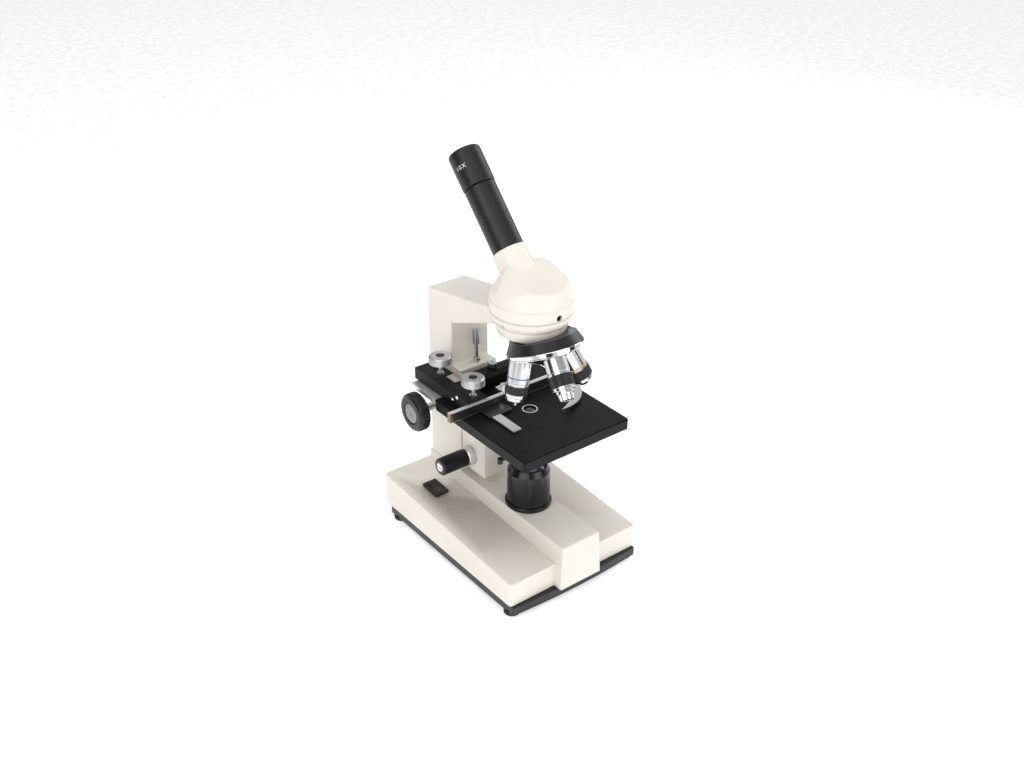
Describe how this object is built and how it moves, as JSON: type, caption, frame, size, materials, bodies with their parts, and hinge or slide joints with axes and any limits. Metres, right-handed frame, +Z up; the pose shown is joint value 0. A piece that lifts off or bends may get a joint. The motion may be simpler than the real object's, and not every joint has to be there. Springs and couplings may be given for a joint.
{
  "type": "microscope",
  "caption": "Upright monocular light microscope with an inclined eyepiece, a revolving nosepiece, a mechanical stage, rack focus knobs and a lamp in a wide base.",
  "frame": {"origin": "on the ground, at the middle of the bounding box's footprint", "axes": "+Z up, -Y towards the front of the base and the stage's free edge, +Y towards the arm, +X to the right when facing the front"},
  "size_m": [0.147, 0.219, 0.3744],
  "materials": {
    "ivory_paint": "smooth semi-gloss",
    "black_paint": "satin",
    "black_aluminium": "matte black anodised",
    "black_plastic": "matte",
    "black_gloss": "gloss",
    "rubber": "matte",
    "steel": "turned",
    "aluminium": "satin turned",
    "scale_metal": "satin with graduations",
    "chrome": "polished",
    "brass": "turned",
    "glass": "polished",
    "ceramic": "matte",
    "winding": "lacquered"
  },
  "bodies": {
    "stand": {"base_shell": "ivory_paint", "base_plate": "black_paint", "rubber_feet": "rubber", "base_screws": "steel", "switch_housing": "black_plastic", "power_inlet": "black_plastic", "fuse_cap": "black_plastic", "transformer": "winding", "lamp_socket": "ceramic", "bulb": "glass", "lamp_housing": "black_paint", "collector_lens": "glass", "arm": "ivory_paint", "guide_rails": "steel", "ring_set_screw": "steel", "nose_base": "black_paint"},
    "rocker": {"switch_rocker": "black_gloss"},
    "stop": {"stop_screw": "steel"},
    "carriage": {"carriage": "ivory_paint", "focus_rack": "brass", "fine_collars": "aluminium"},
    "coarse_drive": {"coarse_shaft": "steel", "coarse_knobs": "black_plastic", "coarse_caps": "aluminium"},
    "fine_drive": {"fine_shaft": "steel", "fine_knobs": "black_plastic", "fine_caps": "aluminium"},
    "lead": {"lead_screw": "steel"},
    "stage": {"fine_block": "aluminium", "stage_plate": "black_aluminium", "condenser_sleeve": "black_aluminium", "condenser_barrel": "black_aluminium", "condenser_lens": "glass", "rack_plate": "steel", "y_scale_rail": "scale_metal", "clamp_beam": "black_aluminium", "clamp_screw": "chrome"},
    "iris": {"iris_lever": "chrome"},
    "y_carriage": {"y_block": "black_aluminium", "vernier_plate": "scale_metal", "knob_bushes": "chrome"},
    "y_drive": {"y_knob": "chrome"},
    "x_drive": {"x_knob": "chrome"},
    "slide_holder": {"slide_bar": "aluminium", "holder_plate": "black_aluminium", "fixed_finger": "aluminium", "holder_screws": "chrome"},
    "finger": {"spring_finger": "chrome"},
    "nosepiece": {"turret": "chrome", "objective_4x": "chrome", "objective_10x": "chrome", "objective_40x": "chrome", "objective_lenses": "glass"},
    "head": {"head_housing": "ivory_paint", "prism": "glass", "head_lock_screw": "black_plastic", "eyepiece_tube": "black_paint"},
    "eyepiece": {"eyepiece_body": "black_paint", "eyepiece_lenses": "glass"}
  },
  "joints": [
    {"name": "switch_rock", "type": "hinge", "parent": "stand", "child": "rocker", "pos_m": [-0.0465, 0.0511, 0.04155], "axis": [1, 0, 0], "range_deg": [-18, 0]},
    {"name": "stop_turn", "type": "hinge", "parent": "stand", "child": "stop", "pos_m": [0.0025, 0.05005, 0.19], "axis": [0, 0, 1], "range_deg": [-360, 360]},
    {"name": "coarse_slide", "type": "slide", "parent": "stand", "child": "carriage", "axis": [0, 0, 1], "range_m": [-0.0095, 0.009]},
    {"name": "coarse_turn", "type": "hinge", "parent": "stand", "child": "coarse_drive", "pos_m": [0, 0.052, 0.136], "axis": [1, 0, 0], "range_deg": [-120, 120]},
    {"name": "fine_turn", "type": "hinge", "parent": "carriage", "child": "fine_drive", "pos_m": [0, 0.029, 0.0835], "axis": [1, 0, 0], "range_deg": [-725, 725]},
    {"name": "fine_slide", "type": "slide", "parent": "carriage", "child": "stage", "axis": [0, 0, 1], "range_m": [-0.001, 0.001]},
    {"name": "lead_turn", "type": "hinge", "parent": "carriage", "child": "lead", "pos_m": [0, 0.0235, 0.078], "axis": [0, 0, 1], "range_deg": [-520, 520]},
    {"name": "iris_turn", "type": "hinge", "parent": "stage", "child": "iris", "pos_m": [0, -0.0326, 0.119], "axis": [0, 0, 1], "range_deg": [-30, 30]},
    {"name": "y_slide", "type": "slide", "parent": "stage", "child": "y_carriage", "axis": [0, 1, 0], "range_m": [-0.009, 0.013]},
    {"name": "y_turn", "type": "hinge", "parent": "y_carriage", "child": "y_drive", "pos_m": [-0.0385, 0.0493, 0.18], "axis": [0, 0, 1], "range_deg": [-190, 190]},
    {"name": "x_slide", "type": "slide", "parent": "y_carriage", "child": "slide_holder", "axis": [1, 0, 0], "range_m": [-0.015, 0.025]},
    {"name": "x_turn", "type": "hinge", "parent": "y_carriage", "child": "x_drive", "pos_m": [-0.0385, -0.0006, 0.18], "axis": [0, 0, 1], "range_deg": [-150, 245]},
    {"name": "finger_swing", "type": "hinge", "parent": "slide_holder", "child": "finger", "pos_m": [0.0557, -0.0173, 0.16], "axis": [0, 0, 1], "range_deg": [0, 40], "stiffness_Nm_per_rad": 0.02, "springref_deg": -11.46},
    {"name": "turret_turn", "type": "hinge", "parent": "stand", "child": "nosepiece", "pos_m": [0, -0.0326, 0.275], "axis": [0, 0.3649, 0.9311], "continuous": true},
    {"name": "head_turn", "type": "hinge", "parent": "stand", "child": "head", "pos_m": [0, -0.0326, 0.2555], "axis": [0, 0, 1], "continuous": true},
    {"name": "eyepiece_slide", "type": "slide", "parent": "head", "child": "eyepiece", "axis": [0, 0.682, 0.7314], "range_m": [0, 0.034]}
  ],
  "couplings": [
    {"joint": "coarse_turn", "follows": "coarse_slide", "rad_per_m": -208.33},
    {"joint": "fine_turn", "follows": "fine_slide", "rad_per_m": 12566},
    {"joint": "lead_turn", "follows": "fine_slide", "rad_per_m": 8859.3},
    {"joint": "y_turn", "follows": "y_slide", "rad_per_m": -250},
    {"joint": "x_turn", "follows": "x_slide", "rad_per_m": 166.67}
  ]
}
